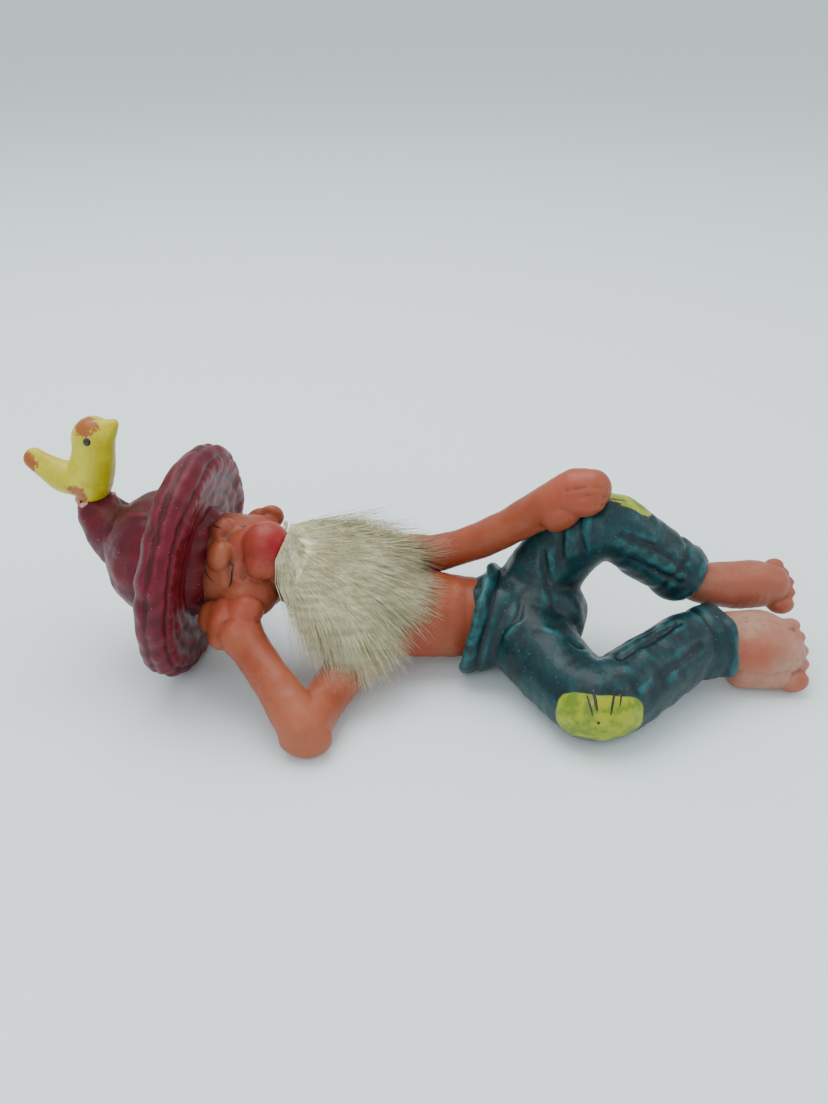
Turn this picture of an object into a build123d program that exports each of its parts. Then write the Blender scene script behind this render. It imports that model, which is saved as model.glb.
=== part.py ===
from build123d import *
import os
from math import cos, radians, sin

# A reclining garden gnome in thin moulded vinyl, lying on its right side and leaning on one elbow.
# Millimetres.  +Z is up and Z = 0 is the ground it lies on.  +X runs from the hat to the feet, and
# -Y is the side its face, knees and beard are turned to.  The origin is under the middle of the figure.

# ---- driving sizes -------------------------------------------------------------------------------
WALL = 2.0             # thickness of the moulded vinyl skin
FIT = 0.06             # clearance on each side of a push-in joint
CLEAR = 0.5            # air left under and around the loose part of the beard
NOSE_CLEAR = 1.8       # air left round the nose, for the beard to be lifted
NECK_PLUG = 7.0        # radius of the plug under the head
SHOULDER_PLUG = 5.0    # radius of the plug on each arm
ANKLE_PLUG = 5.5       # radius of the plug on each foot
TRUNK_PLUG = 14.3      # radius of the trunk where it is pushed into the trousers
BIRD_PEG = 2.4         # radius of the peg under the bird
VENT = 2.0             # radius of the vents between the hollow mouldings
GROUND_CUT = 10.0      # depth of the block that trims the resting flats
CUFF_DEPTH = 7.5       # how far a foot goes up inside its cuff before it meets the plug wall
UP = Vector(0, 0, 1)

# ---- stations along each limb: x, y, z and the radius there ---------------------------------------
TRUNK = [(-43, 12, 33, 9.5), (-28, 11, 27.5, 13.5), (-9, 9.5, 21.5, 17), (7, 9, 19, 15.8),
         (20, 9, 17.5, 14.6), (42, 8.5, 18, TRUNK_PLUG)]
RIGHT_ARM = [(-14, 1, 20.5, 9.5), (-19, -11, 16.5, 9.4), (-28.5, -27, 11, 7.8), (-36, -43, 9, 8.4)]
RIGHT_FOREARM = [(-36.5, -43.5, 9, 8.2), (-46, -32.5, 17.5, 7.2), (-55, -20, 23.5, 7.2), (-59, -15, 26, 6.4)]
LEFT_ARM = [(-12, 17, 28, 9), (-4, 24, 34, 8.6), (8, 23.5, 36, 6.9), (25, 20, 44, 6.7), (42, 12, 59, 7.3),
            (51, 8, 67, 7.6)]
HIPS = [(34, 8, 18.8, 19.1), (44, 8, 20, 18.4), (54, 6, 22, 13)]
RIGHT_LEG = [(38, 0, 17.5, 15), (50, -20.5, 13.6, 13.8), (61, -35.8, 13.0, 13.5), (80, -23, 16, 13.4),
             (96, -11, 18.5, 12.8), (107, -6.5, 17.5, 13.6)]
LEFT_LEG = [(42, 11, 22, 12.5), (52, 14, 43, 13.4), (66.5, 9, 56, 12), (83, 10, 44.5, 11.6),
            (97.5, 10.5, 34, 11.4)]
RIGHT_FOOT = [(112, -6, 15.5, 10), (121, -4.5, 12.8, 12), (130, -5, 12, 11.5), (136.5, -5.5, 12, 9),
              (139.5, -5.8, 12, 5)]
LEFT_FOOT = [(103, 11.5, 31, 8), (113, 14.5, 27.5, 9), (123, 17, 26.5, 9.4), (131, 18.5, 25.5, 8.6),
             (137, 19.3, 25, 6.5), (139.5, 19.6, 24.8, 3.5)]
HAT_CONE = [(-86, 13, 41.8, 24.5), (-95, 17, 42.3, 16), (-106, 21, 46, 11.5), (-112.5, 25, 51, 9),
            (-115, 27, 57.5, 7)]
BIRD_TAIL = [(-116, 27, 65, 7.5), (-125, 27.4, 65, 5.8), (-131.5, 28, 68, 4.5), (-136, 28.6, 70.3, 3.3)]

# ---- places and directions of the rounder pieces --------------------------------------------------
HEAD_CENTRE = Vector(-62.7, 10, 39.4)
CROWN = Vector(-1, 0.15, 0.12).normalized()      # from the chin to the top of the head
HEAD_LENGTH = 21.5                               # half the height of the head, chin to crown
HEAD_RADIUS = 18.4
NOSE_CENTRE = Vector(-49.5, -4, 54)
NOSE_SIZE = (7.6, 6.6)
EAR_CENTRE = Vector(-54, 22.5, 48)
EAR_WAY = Vector(0.3, 0.6, 0.75)
EAR_SIZE = (6.5, 5)
ELBOW = (-36.6, -44, 8.8)
ELBOW_RADIUS = 9.3
FIST_CENTRE = Vector(-62.5, -12, 28)
FIST_WAY = Vector(-0.7, 0.6, 0.4)
FIST_SIZE = (10, 8.6)
HAND_CENTRE = Vector(55, 7, 70)
HAND_WAY = Vector(0.9, -0.3, 0.3)
HAND_SIZE = (10, 8)
WAIST_MOUTH = Vector(22, 7, 18.7)
WAIST_WAY = Vector(0.96, -0.21, -0.18)           # square to the slanting rim of the trousers
WAIST_RADIUS = 20.6
BRIM_CENTRE = Vector(-78.5, 10, 41.4)
BRIM_WAY = Vector(-1, 0.2, 0.12).normalized()
BRIM_RADIUS = 35.5                               # to the middle of the roll
BRIM_ROLL = 6.8
BRIM_SIDE = (Vector(0, 1, 0) - BRIM_WAY * BRIM_WAY.Y).normalized()
BRIM_PLANE = Plane(BRIM_CENTRE, x_dir=BRIM_SIDE, z_dir=BRIM_SIDE.cross(BRIM_WAY))   # holds the brim's axis
WEB_HOLE = 8.0                                   # radius of the web's hole before the head is fitted
CONE_RADIUS = 28.5
TIP_RADIUS = HAT_CONE[-1][3]
BIRD_BASE = Vector(*HAT_CONE[-1][:3])
BIRD_BODY = Vector(-115.5, 27, 65)
BIRD_HEAD = Vector(-111.8, 27, 80.5)
BIRD_BEAK = Vector(-104, 26, 85)
GLUE_RING = (7.6, 5.0, 1.0)                      # ring of glue under the bird: outside, inside, height

# ---- beard: a strip of hide with long hair, glued along one edge under the nose --------------------
BEARD_ROOT = Vector(-46.2, 3, 49.9)              # middle of the glued edge
BEARD_RUN = Vector(0.9, -0.1, -0.42).normalized()
BEARD_OUT = Vector(0.3, -0.58, 0.76)
BEARD_PLANE = Plane(BEARD_ROOT, x_dir=BEARD_RUN, z_dir=BEARD_OUT - BEARD_RUN * BEARD_OUT.dot(BEARD_RUN))
HIDE_WIDTH = 21.0
HIDE_LENGTH = 24.0
HIDE_THICK = 1.2
# along the hair from the glued edge: distance, sideways, height of the middle, half width, half thickness
HAIR = [(5, 0, 1.4, 9.5, 1.2), (14, -1, 1.4, 14, 2.8), (27, -4, 2.5, 20, 6), (42, -6, 3, 24, 6),
        (56, -5, 3, 17, 4), (64, -3, 3, 7, 2)]
GLUE_BEAD = 1.4


# ---- shapes used more than once ------------------------------------------------------------------
def ring(centre, radius, way):
    """A round cross-section, square to a direction."""
    level = UP if way.cross(UP).length > 0.1 else Vector(0, 1, 0)
    with BuildSketch(Plane(centre, x_dir=way.cross(level), z_dir=way), mode=Mode.PRIVATE) as cut:
        Circle(radius)
    return cut.sketch


def place(station):
    """The point of a station."""
    return Vector(*station[:3])


def rings(stations, inset=0.0):
    """Cross-sections along a limb; the inset makes them smaller all round."""
    points = [place(station) for station in stations]
    runs = [(after - before).normalized() for before, after in zip(points, points[1:])]
    ways = [a + b for a, b in zip(runs[:1] + runs, runs + runs[-1:])]
    return [ring(point, station[3] - inset, way) for point, station, way in zip(points, stations, ways)]


def egg(centre, way, size, mode=Mode.ADD):
    """An egg-shaped solid with its long axis along a direction; size is half its length and its radius."""
    half_length, radius = size
    way = way.normalized()
    angles = [radians(degrees) for degrees in (-78, -52, -26, 0, 26, 52, 78)]
    return loft([ring(centre + way * half_length * sin(angle), radius * cos(angle), way) for angle in angles],
                mode=mode)


def plug(start, way, length, radius, mode=Mode.ADD):
    """A round plug or bore from a point along a direction."""
    return extrude(ring(start, radius, way), length, mode=mode)


def cut_ground():
    """Cut a piece off level with the ground, which gives it the flat that it rests on."""
    with Locations((0, 0, -GROUND_CUT / 2)):
        Box(400, 200, GROUND_CUT, mode=Mode.SUBTRACT)


def first_way(stations):
    """The direction in which a limb sets off."""
    return (place(stations[1]) - place(stations[0])).normalized()


def arm_vent(arm):
    """Bore from the inside of the trunk through the solid shoulder to the hollow of the arm."""
    run = place(arm[2]) - place(arm[0])
    plug(place(arm[0]), run, run.length + VENT, VENT, mode=Mode.SUBTRACT)


def last_way(stations):
    """The direction in which a limb ends."""
    return (place(stations[-1]) - place(stations[-2])).normalized()


def cuff_floor(leg):
    """The point where a foot meets the plug wall up inside the cuff."""
    return place(leg[-1]) - last_way(leg) * CUFF_DEPTH


# ---- outer forms that other pieces are fitted to --------------------------------------------------
with BuildPart() as trunk_form:
    loft(rings(TRUNK))
with BuildPart() as head_form:
    egg(HEAD_CENTRE, CROWN, (HEAD_LENGTH, HEAD_RADIUS))
with BuildPart() as trousers_form:
    loft([ring(WAIST_MOUTH, WAIST_RADIUS, WAIST_WAY)] + rings(HIPS))
    loft(rings(RIGHT_LEG))
    loft(rings(LEFT_LEG))
with BuildPart() as beard_room:
    loft(rings(TRUNK, -CLEAR))
    loft(rings(RIGHT_ARM, -CLEAR))
    egg(HEAD_CENTRE, CROWN, (HEAD_LENGTH + CLEAR, HEAD_RADIUS + CLEAR))
    egg(NOSE_CENTRE, CROWN, (NOSE_SIZE[0] + NOSE_CLEAR, NOSE_SIZE[1] + NOSE_CLEAR))

# ---- trunk: neck, chest and belly, hollow, with sockets for the neck and both arms ----------------
NECK_WAY = first_way(TRUNK)
NECK_TOP = place(TRUNK[0])
with BuildPart() as torso:
    add(trunk_form.part)
    loft(rings(TRUNK[1:], WALL), mode=Mode.SUBTRACT)
    plug(NECK_TOP - NECK_WAY, NECK_WAY, 22, NECK_PLUG + FIT, mode=Mode.SUBTRACT)
    for arm in (RIGHT_ARM, LEFT_ARM):
        plug(place(arm[0]), first_way(arm), 16, SHOULDER_PLUG + FIT, mode=Mode.SUBTRACT)
    add(head_form.part, mode=Mode.SUBTRACT)

# ---- head, with the round nose, one free ear and the neck plug -------------------------------------
with BuildPart() as head:
    add(head_form.part)
    egg(NOSE_CENTRE, CROWN, NOSE_SIZE)
    egg(EAR_CENTRE, EAR_WAY, EAR_SIZE)
    plug(NECK_TOP - NECK_WAY * 12, NECK_WAY, 30, NECK_PLUG)
    egg(HEAD_CENTRE, CROWN, (HEAD_LENGTH - WALL, HEAD_RADIUS - WALL), mode=Mode.SUBTRACT)
    plug(NECK_TOP - NECK_WAY * 14, NECK_WAY, 34, NECK_PLUG - WALL, mode=Mode.SUBTRACT)

# ---- right arm, bent under the head, with the cheek resting on its fist ----------------------------
with BuildPart() as right_arm:
    loft(rings(RIGHT_ARM))
    loft(rings(RIGHT_FOREARM))
    with Locations(ELBOW):
        Sphere(ELBOW_RADIUS)
    egg(FIST_CENTRE, FIST_WAY, FIST_SIZE)
    loft(rings(RIGHT_ARM[2:], WALL), mode=Mode.SUBTRACT)
    loft(rings(RIGHT_FOREARM, WALL), mode=Mode.SUBTRACT)
    add(trunk_form.part, mode=Mode.SUBTRACT)
    add(head_form.part, mode=Mode.SUBTRACT)
    plug(place(RIGHT_ARM[0]) + first_way(RIGHT_ARM) * 2, first_way(RIGHT_ARM), 12, SHOULDER_PLUG)
    arm_vent(RIGHT_ARM)
    cut_ground()

# ---- left arm, lying along the body with its hand on the raised knee -------------------------------
with BuildPart() as left_arm:
    loft(rings(LEFT_ARM))
    egg(HAND_CENTRE, HAND_WAY, HAND_SIZE)
    loft(rings(LEFT_ARM[2:], WALL), mode=Mode.SUBTRACT)
    add(trunk_form.part, mode=Mode.SUBTRACT)
    add(trousers_form.part, mode=Mode.SUBTRACT)
    plug(place(LEFT_ARM[0]) + first_way(LEFT_ARM) * 2, first_way(LEFT_ARM), 10, SHOULDER_PLUG)
    arm_vent(LEFT_ARM)

# ---- trousers: flared waist, hips and two legs, hollow down to the plug wall in each cuff ----------
TRUNK_END = place(TRUNK[-1])
with BuildPart() as trousers:
    add(trousers_form.part)
    loft([ring(WAIST_MOUTH - WAIST_WAY * 0.2, WAIST_RADIUS - WALL, WAIST_WAY),
          ring(TRUNK_END - Vector(8, 0, 0), TRUNK_PLUG, last_way(TRUNK))], mode=Mode.SUBTRACT)
    add(trunk_form.part, mode=Mode.SUBTRACT)
    for leg in (RIGHT_LEG, LEFT_LEG):
        loft(rings(leg[1:-1], WALL), mode=Mode.SUBTRACT)
        plug(TRUNK_END, place(leg[1]) - TRUNK_END, 30, VENT, mode=Mode.SUBTRACT)
        plug(cuff_floor(leg), last_way(leg), CUFF_DEPTH + 1, leg[-1][3] - WALL, mode=Mode.SUBTRACT)
        plug(cuff_floor(leg) + last_way(leg), -last_way(leg), 14, ANKLE_PLUG + FIT, mode=Mode.SUBTRACT)
    cut_ground()


# ---- feet: bare, each pushed up into its cuff on a vented plug --------------------------------------
def foot(leg, stations):
    """One foot: ankle, instep and rounded toes, with the plug that holds it in the trouser leg."""
    way = last_way(leg)
    ankle = cuff_floor(leg)
    with BuildPart() as piece:
        loft([ring(ankle, stations[0][3] - 1, way)] + rings(stations))
        loft(rings([(*ankle, stations[0][3] - 1)] + stations[:-1], WALL), mode=Mode.SUBTRACT)
        plug(ankle + way * 2, -way, 10, ANKLE_PLUG)
        plug(ankle + way * 3, -way, 14, VENT, mode=Mode.SUBTRACT)
        cut_ground()
    return piece


right_foot = foot(RIGHT_LEG, RIGHT_FOOT)
left_foot = foot(LEFT_LEG, LEFT_FOOT)

# ---- hat: the brim is a thick roll round a web that the crown of the head is pushed through ----------
with BuildPart() as hat_brim:
    with BuildSketch(BRIM_PLANE):
        with Locations((BRIM_RADIUS, 0)):
            Circle(BRIM_ROLL)
        with Locations(((BRIM_RADIUS + WEB_HOLE) / 2, 0)):
            Rectangle(BRIM_RADIUS - WEB_HOLE, WALL)
    revolve(axis=Axis(BRIM_CENTRE, BRIM_WAY))
    add(head_form.part, mode=Mode.SUBTRACT)
    cut_ground()

# ---- the hollow bent cone stands on the back of the web -------------------------------------------------
CONE_FOOT = BRIM_CENTRE + BRIM_WAY * WALL / 2
with BuildPart() as hat_cone:
    loft([ring(CONE_FOOT, CONE_RADIUS, BRIM_WAY)] + rings(HAT_CONE[:-1]) + [ring(BIRD_BASE, TIP_RADIUS, UP)])
    loft([ring(CONE_FOOT - BRIM_WAY * 0.5, CONE_RADIUS - WALL, BRIM_WAY)] + rings(HAT_CONE[:-1], WALL),
         mode=Mode.SUBTRACT)
    plug(BIRD_BASE - UP * FIT, UP, 5, TIP_RADIUS + 3, mode=Mode.SUBTRACT)
    plug(BIRD_BASE + UP, -UP, 12, BIRD_PEG + FIT, mode=Mode.SUBTRACT)

# ---- bird on the tip of the hat, on a peg --------------------------------------------------------------
with BuildPart() as bird:
    egg(BIRD_BODY, Vector(0.25, 0, 1), (9.5, 8.3))
    egg(BIRD_HEAD, Vector(0.1, 0, 1), (8, 7.4))
    egg(BIRD_BEAK, Vector(1, 0, 0.25), (3.6, 2.4))
    egg((BIRD_BODY + BIRD_HEAD) * 0.5, Vector(0.25, 0, 1), (8, 6.6))
    loft(rings(BIRD_TAIL))
    split(bisect_by=Plane(BIRD_BASE, z_dir=(0, 0, 1)), keep=Keep.TOP)
    plug(BIRD_BASE + UP, -UP, 8, BIRD_PEG)

# ---- the dried ring of glue that was run round the foot of the bird ----------------------------------
with BuildPart() as bird_glue:
    with BuildSketch(Plane(BIRD_BASE, z_dir=(0, 0, 1))):
        Circle(GLUE_RING[0])
        Circle(GLUE_RING[1], mode=Mode.SUBTRACT)
    extrude(amount=GLUE_RING[2])
    add(bird.part, mode=Mode.SUBTRACT)

# ---- beard: glue bead, hide and the mass of the hair -------------------------------------------------
with BuildPart() as beard_glue:
    with BuildSketch(Plane(BEARD_PLANE.origin - BEARD_PLANE.y_dir * HIDE_WIDTH / 2, x_dir=BEARD_RUN,
                           z_dir=BEARD_PLANE.y_dir)):
        with Locations((-GLUE_BEAD - CLEAR, 0)):
            Circle(GLUE_BEAD)
    extrude(amount=HIDE_WIDTH)
    add(head_form.part, mode=Mode.SUBTRACT)
    egg(NOSE_CENTRE, CROWN, NOSE_SIZE, mode=Mode.SUBTRACT)

with BuildPart() as beard_hide:
    with BuildSketch(BEARD_PLANE):
        with Locations((HIDE_LENGTH / 2, 0)):
            RectangleRounded(HIDE_LENGTH, HIDE_WIDTH, 3)
    extrude(amount=HIDE_THICK)
    add(beard_room.part, mode=Mode.SUBTRACT)

with BuildPart() as beard_hair:
    for along, sideways, height, half_width, half_thick in HAIR:
        middle = BEARD_PLANE.from_local_coords((along, sideways, height))
        with BuildSketch(Plane(middle, x_dir=BEARD_PLANE.y_dir, z_dir=BEARD_RUN)):
            Ellipse(half_width, half_thick)
    loft()
    add(beard_room.part, mode=Mode.SUBTRACT)
    add(beard_hide.part, mode=Mode.SUBTRACT)

# ---- write every piece ---------------------------------------------------------------------------------
torso.part.label = "torso"
head.part.label = "head"
right_arm.part.label = "right_arm"
left_arm.part.label = "left_arm"
trousers.part.label = "trousers"
right_foot.part.label = "right_foot"
left_foot.part.label = "left_foot"
hat_brim.part.label = "hat_brim"
hat_cone.part.label = "hat_cone"
bird.part.label = "bird"
bird_glue.part.label = "bird_glue"
beard_glue.part.label = "beard_glue"
beard_hide.part.label = "beard_hide"
beard_hair.part.label = "beard_hair"

os.makedirs("parts", exist_ok=True)
for piece in (torso, head, right_arm, left_arm, trousers, right_foot, left_foot, hat_brim, hat_cone, bird,
              bird_glue, beard_glue, beard_hide, beard_hair):
    export_step(piece.part, f"parts/{piece.part.label}.step")
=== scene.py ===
import math
import random

import bpy
import numpy as np
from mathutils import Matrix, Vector
from mathutils.bvhtree import BVHTree


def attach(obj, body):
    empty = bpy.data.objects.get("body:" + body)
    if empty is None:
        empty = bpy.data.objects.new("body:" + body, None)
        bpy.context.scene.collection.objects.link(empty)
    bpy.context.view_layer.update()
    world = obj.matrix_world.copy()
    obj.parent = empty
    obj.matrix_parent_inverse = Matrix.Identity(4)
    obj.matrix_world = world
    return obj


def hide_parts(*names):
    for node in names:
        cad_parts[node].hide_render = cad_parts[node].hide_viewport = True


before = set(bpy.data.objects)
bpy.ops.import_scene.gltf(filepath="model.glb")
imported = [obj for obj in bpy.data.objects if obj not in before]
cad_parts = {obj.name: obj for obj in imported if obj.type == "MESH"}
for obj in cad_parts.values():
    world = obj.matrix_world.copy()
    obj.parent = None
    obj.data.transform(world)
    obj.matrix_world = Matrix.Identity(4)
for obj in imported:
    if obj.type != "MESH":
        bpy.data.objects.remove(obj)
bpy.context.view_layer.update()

MM = 0.001
PAINT_DEPTH = 0.05     # how far a brush stroke stands off the skin, in millimetres
bpy.ops.object.select_all(action="DESELECT")

# ---- places shared by several pieces, in millimetres from the ground under the middle of the figure ----
HEAD = Vector((-62.7, 10, 39.4))
CROWN = Vector((-1, 0.15, 0.12)).normalized()
NOSE = Vector((-49.8, -2.5, 54))
BRIM = Vector((-78.5, 10, 41.4))
BRIM_WAY = Vector((-1, 0.2, 0.12)).normalized()
WAIST = Vector((22, 7, 18.7))
WAIST_WAY = Vector((0.96, -0.21, -0.18)).normalized()
NEAR_CUFF_WAY = Vector((11, 4.5, -1)).normalized()
FAR_CUFF_WAY = Vector((14.5, 0.5, -10.5)).normalized()
BIRD_FOOT = Vector((-115, 27, 57.5))
BEARD_ROOT = Vector((-46.2, 3, 49.9))
BEARD_RUN = Vector((0.9, -0.1, -0.42)).normalized()
BEARD_OUT = Vector((0.3, -0.58, 0.76))
BEARD_OUT = (BEARD_OUT - BEARD_RUN * BEARD_OUT.dot(BEARD_RUN)).normalized()
BEARD_SIDE = BEARD_OUT.cross(BEARD_RUN)
HIDE_LENGTH, HIDE_WIDTH = 24, 20
HAIRS = 5200           # in each of the three lots of hair


# ---- camera, floor and lights ----------------------------------------------------------------------------
def set_camera():
    """A camera above the front of the figure, looking down at it by thirty degrees."""
    bpy.ops.object.camera_add(location=(0, -0.3376, 0.245))
    camera = bpy.context.object
    camera.data.lens = 37.1
    camera.data.sensor_width = 36
    camera.data.clip_start = 0.01
    camera.rotation_euler = (math.radians(60), 0, 0)
    bpy.context.scene.camera = camera


def set_studio():
    """A wide pale floor under an even sky, with soft light from above and from the left."""
    bpy.ops.mesh.primitive_plane_add(size=60, location=(0, 0, 0))
    floor = bpy.context.object
    floor.name = "floor"
    paint = bpy.data.materials.new("pale_paper")
    paint.use_nodes = True
    shader = paint.node_tree.nodes["Principled BSDF"]
    shader.inputs["Base Color"].default_value = (0.86, 0.95, 0.96, 1)
    shader.inputs["Roughness"].default_value = 0.7
    floor.data.materials.append(paint)
    for name, place, turn, size, power in (
            ("top_light", (-0.15, 0.25, 0.9), (-16, -9, 0), 0.8, 7.6),
            ("front_light", (-0.4, -0.9, 0.75), (52, 0, -24), 0.7, 3.6),
            ("side_light", (0.95, -0.1, 0.6), (0, 58, 0), 0.6, 1.8)):
        bpy.ops.object.light_add(type="AREA", location=place, rotation=[math.radians(a) for a in turn])
        light = bpy.context.object
        light.name = name
        light.data.size = size
        light.data.energy = power
    world = bpy.data.worlds.new("studio")
    world.use_nodes = True
    world.node_tree.nodes["Background"].inputs["Color"].default_value = (0.80, 0.88, 0.92, 1)
    world.node_tree.nodes["Background"].inputs["Strength"].default_value = 0.95
    bpy.context.scene.world = world


set_camera()
set_studio()


# ---- modelling: strings of beads, fused and smoothed like clay -------------------------------------------
def between(stations, step=0.3):
    """Beads along a smooth line through the stations, a fraction of a radius apart."""
    rows = np.array(stations, float)
    padded = np.vstack([2 * rows[0] - rows[1], rows, 2 * rows[-1] - rows[-2]])
    beads = []
    for a, b, c, d in zip(padded, padded[1:], padded[2:], padded[3:]):
        count = max(2, int(np.linalg.norm(c[:3] - b[:3]) / (step * min(b[3], c[3]))))
        for t in np.arange(count) / count:
            beads.append(0.5 * (2 * b + (c - a) * t + (2 * a - 5 * b + 4 * c - d) * t ** 2
                                + (3 * b - a - 3 * c + d) * t ** 3))
    beads.append(rows[-1])
    return beads


def add_bead(centre, radius, way=None, stretch=(1, 1, 1)):
    """One round lump; stretch is along, across and out of the plane of its direction."""
    bpy.ops.mesh.primitive_uv_sphere_add(segments=24, ring_count=14, radius=radius * MM,
                                         location=Vector(centre[:3]) * MM)
    lump = bpy.context.object
    if way is not None:
        lump.rotation_euler = Vector(way).to_track_quat("X", "Z").to_euler()
        lump.scale = stretch
    return lump


def join(pieces, name):
    """Join objects into one, with its place in its mesh."""
    bpy.ops.object.select_all(action="DESELECT")
    for piece in pieces:
        piece.select_set(True)
    bpy.context.view_layer.objects.active = pieces[0]
    bpy.ops.object.join()
    bpy.ops.object.transform_apply(location=True, rotation=True, scale=True)
    bpy.context.object.name = name
    bpy.context.object.data.name = name
    return bpy.context.object


def apply_modifier(piece, kind, **settings):
    """Add a modifier, set it and apply it."""
    modifier = piece.modifiers.new("made", kind)
    for key, value in settings.items():
        setattr(modifier, key, value)
    bpy.context.view_layer.objects.active = piece
    bpy.ops.object.modifier_apply(modifier=modifier.name)


def fuse(piece, grain):
    """Turn overlapping lumps into one skin."""
    apply_modifier(piece, "REMESH", mode="VOXEL", voxel_size=grain * MM)


def clay(name, strings, lumps=(), grain=0.7, soften=8, holes=()):
    """A moulded piece from strings of beads and single lumps, with holes cut in it the same way."""
    beads = [add_bead(b, b[3]) for string in strings for b in between(string)]
    beads += [add_bead(centre, radius, way, stretch) for centre, radius, way, stretch in lumps]
    piece = join(beads, name)
    fuse(piece, grain)
    for string in holes:
        cutter = join([add_bead(b, b[3]) for b in between(string)], "cutter")
        fuse(cutter, grain)
        apply_modifier(piece, "BOOLEAN", operation="DIFFERENCE", object=cutter, solver="EXACT")
        bpy.data.objects.remove(cutter)
    if holes:
        fuse(piece, grain)
    apply_modifier(piece, "SMOOTH", factor=0.5, iterations=soften)
    return piece


def points_of(piece):
    """The points of a piece in millimetres, and the way each faces."""
    mesh = piece.data
    places = np.empty(len(mesh.vertices) * 3)
    normals = np.empty(len(mesh.vertices) * 3)
    mesh.vertices.foreach_get("co", places)
    mesh.vertices.foreach_get("normal", normals)
    return places.reshape(-1, 3) / MM, normals.reshape(-1, 3)


def set_points(piece, places):
    """Put the points of a piece where they are wanted."""
    piece.data.vertices.foreach_set("co", (places * MM).ravel())
    piece.data.update()


def nearness(places, route, width):
    """How near each point is to a route: 1 on it, falling softly to 0."""
    route = np.array(route, float)
    best = np.full(len(places), 1e9)
    for a, b in zip(route, route[1:]):
        run = b - a
        along = np.clip((places - a) @ run / (run @ run), 0, 1)
        best = np.minimum(best, np.linalg.norm(places - a - along[:, None] * run, axis=1))
    return np.exp(-(best / width) ** 2)


def press(piece, routes, width, depth):
    """Press grooves along routes, or raise ridges where the depth is negative."""
    places, normals = points_of(piece)
    amount = np.zeros(len(places))
    for route in routes:
        amount = np.maximum(amount, nearness(places, route, width))
    set_points(piece, places - normals * (amount * depth)[:, None])


def roughen(piece, size, height, seed=0):
    """The slight unevenness of a hand-made mould."""
    places, normals = points_of(piece)
    generator = np.random.default_rng(seed)
    swell = np.zeros(len(places))
    for _ in range(14):
        wave = generator.normal(size=3) / size
        swell += np.sin(places @ wave * 2 + generator.uniform(0, 6.3)) / 14
    set_points(piece, places + normals * (swell * height * 2)[:, None])


def stand_flat(piece):
    """Flatten whatever would go below the ground."""
    places, _ = points_of(piece)
    places[:, 2] = np.maximum(places[:, 2], 0)
    set_points(piece, places)


def note_proudness(piece):
    """Keep how proud or how sunken each point stands among its neighbours; the paints use it for painted
    shade in the creases and painted highlights on the ridges.
    """
    mesh = piece.data
    places, normals = points_of(piece)
    ends = np.empty(len(mesh.edges) * 2, int)
    mesh.edges.foreach_get("vertices", ends)
    ends = ends.reshape(-1, 2)
    count = np.bincount(ends.ravel(), minlength=len(places))[:, None]
    smooth = places.copy()
    for _ in range(6):
        total = np.zeros_like(places)
        np.add.at(total, ends[:, 0], smooth[ends[:, 1]])
        np.add.at(total, ends[:, 1], smooth[ends[:, 0]])
        smooth = total / np.maximum(count, 1)
    proud = ((places - smooth) * normals).sum(axis=1)
    proud = proud - np.median(proud)
    proudness = mesh.attributes.new("proudness", "FLOAT", "POINT")
    proudness.data.foreach_set("value", np.clip(proud / 0.25, -1, 1))


def surface_of(*pieces):
    """A search tree over the skins of some pieces, in millimetres."""
    corners, faces = [], []
    for piece in pieces:
        start = len(corners)
        places, _ = points_of(piece)
        corners += [tuple(p) for p in places]
        faces += [tuple(start + v for v in face.vertices) for face in piece.data.polygons]
    return BVHTree.FromPolygons(corners, faces)


def mesh_piece(name, corners, faces):
    """A piece from corners in millimetres and faces."""
    mesh = bpy.data.meshes.new(name)
    mesh.from_pydata([tuple(c * MM for c in corner) for corner in corners], [], faces)
    mesh.update()
    piece = bpy.data.objects.new(name, mesh)
    bpy.context.collection.objects.link(piece)
    return piece


def face_outward(piece):
    """Turn every face of a closed piece to the outside."""
    bpy.ops.object.select_all(action="DESELECT")
    piece.select_set(True)
    bpy.context.view_layer.objects.active = piece
    bpy.ops.object.mode_set(mode="EDIT")
    bpy.ops.mesh.select_all(action="SELECT")
    bpy.ops.mesh.normals_make_consistent(inside=False)
    bpy.ops.object.mode_set(mode="OBJECT")
    return piece


def strokes(name, routes, skin):
    """Brush strokes: flat tapering ribbons of paint that lie on a skin. A route is points and a width."""
    corners, faces = [], []
    for route, width in routes:
        rows = between([(*point, width) for point in route], step=0.9)
        line = [skin.find_nearest(Vector(row[:3]))[:2] for row in rows]
        start = len(corners)
        for i, (place, normal) in enumerate(line):
            run = (line[min(i + 1, len(line) - 1)][0] - line[max(i - 1, 0)][0]).normalized()
            side = run.cross(normal).normalized()
            half = width / 2 * (0.25 + 0.75 * math.sin(math.pi * (i + 0.5) / len(line)) ** 0.6)
            for across, up in ((-1, -0.2), (-0.5, 1), (0.5, 1), (1, -0.2), (0, -2)):
                corners.append(place + side * half * across + normal * PAINT_DEPTH * up)
        for i in range(len(line) - 1):
            a = start + i * 5
            faces += [(a + k, a + (k + 1) % 5, a + 5 + (k + 1) % 5, a + 5 + k) for k in range(5)]
        faces.append(tuple(start + k for k in reversed(range(5))))
        faces.append(tuple(len(corners) - 5 + k for k in range(5)))
    piece = mesh_piece(name, corners, faces)
    return face_outward(piece)


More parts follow.
